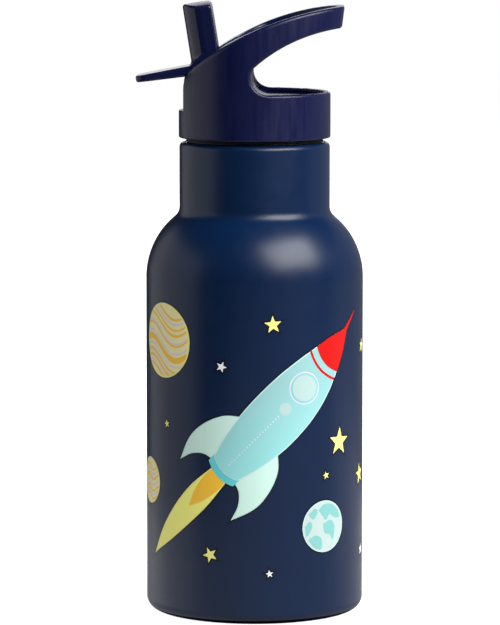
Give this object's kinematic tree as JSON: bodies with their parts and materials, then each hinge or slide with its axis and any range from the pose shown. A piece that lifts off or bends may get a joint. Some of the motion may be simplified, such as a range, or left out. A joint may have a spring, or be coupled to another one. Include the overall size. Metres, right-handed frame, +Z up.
{
  "type": "kids water bottle",
  "caption": "Slim insulated drinking bottle with a narrow neck, a screw lid with an arched open carry handle, and a flip-up spout worked by a thumb lever.",
  "frame": {"origin": "centre of the flat base, on the surface that the bottle stands on", "axes": "+Z up along the bottle's axis, +X the way the carry handle points, -X the way the spout's thumb lever points, +Y to the left of +X seen from above"},
  "size_m": [0.0731, 0.07, 0.1971],
  "materials": {
    "navy_paint": "satin powder coat, dark navy",
    "navy_plastic": "semi-gloss moulded polypropylene, navy",
    "bare_steel": "brushed stainless steel",
    "dark_silicone": "matt silicone, near black",
    "clear_silicone": "milky translucent silicone",
    "straw_plastic": "milky polypropylene tube",
    "getter_metal": "dull grey metal",
    "seal_glass": "dark solder glass"
  },
  "bodies": {
    "flask": {"outer_shell": "navy_paint", "inner_flask": "bare_steel", "vacuum_bottom": "bare_steel", "port_seal": "seal_glass", "getter_case": "getter_metal", "base_cover": "bare_steel"},
    "gasket": {"lid_gasket": "dark_silicone"},
    "lid": {"lid_body": "navy_plastic", "lid_insert": "navy_plastic", "spout_seal": "clear_silicone", "straw_sleeve": "clear_silicone", "straw": "straw_plastic", "vent_valve": "clear_silicone"},
    "spout": {"spout_rocker": "navy_plastic"}
  },
  "joints": [
    {"name": "lid_lift", "type": "slide", "parent": "flask", "child": "gasket", "axis": [0, 0, 1], "range_m": [0, 0.16]},
    {"name": "lid_turn", "type": "hinge", "parent": "gasket", "child": "lid", "pos_m": [0, 0, 0.153], "axis": [0, 0, 1], "range_deg": [0, 450]},
    {"name": "spout_flip", "type": "hinge", "parent": "lid", "child": "spout", "pos_m": [-0.0152, 0, 0.1746], "axis": [0, 1, 0], "range_deg": [0, 66]}
  ]
}
